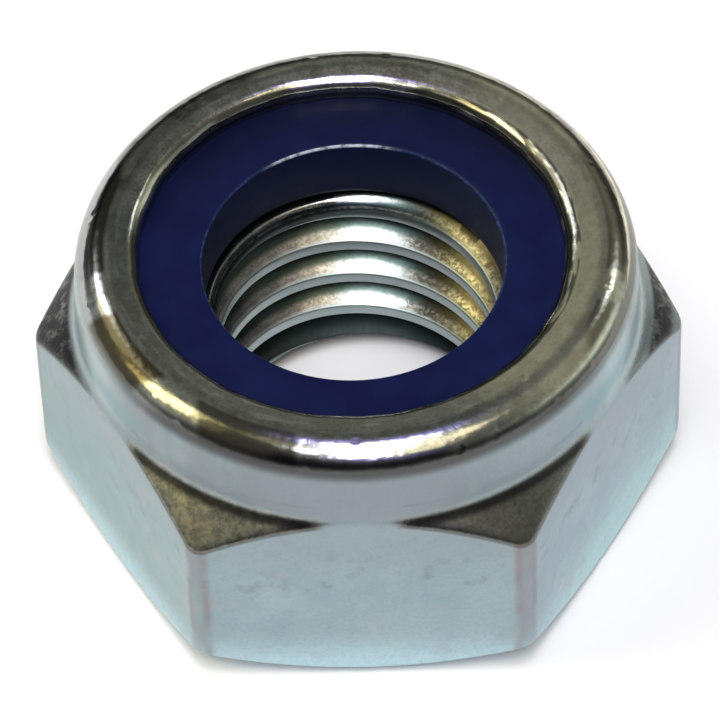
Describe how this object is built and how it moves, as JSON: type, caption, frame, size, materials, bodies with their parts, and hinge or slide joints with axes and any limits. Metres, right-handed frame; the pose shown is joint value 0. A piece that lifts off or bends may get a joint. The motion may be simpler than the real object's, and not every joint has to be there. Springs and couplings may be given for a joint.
{
  "type": "nylon insert lock nut",
  "caption": "Hexagon lock nut with a blue locking ring crimped into its collar, which grips the bolt's thread.",
  "frame": {"origin": "centre of the bearing face at the bottom of the nut", "axes": "+Z along the thread axis from the bearing face towards the collar; +X through a corner of the hexagon; -Y and +Y through the middle of a flat"},
  "size_m": [0.0194, 0.017, 0.0098],
  "materials": {
    "zinc_plate": "bright zinc plate, satin on the flats and glossy on the lip",
    "blue_nylon": "moulded, dark blue, half-matt"
  },
  "bodies": {
    "root": {"nut_body": "zinc_plate", "nylon_insert": "blue_nylon"}
  },
  "joints": []
}
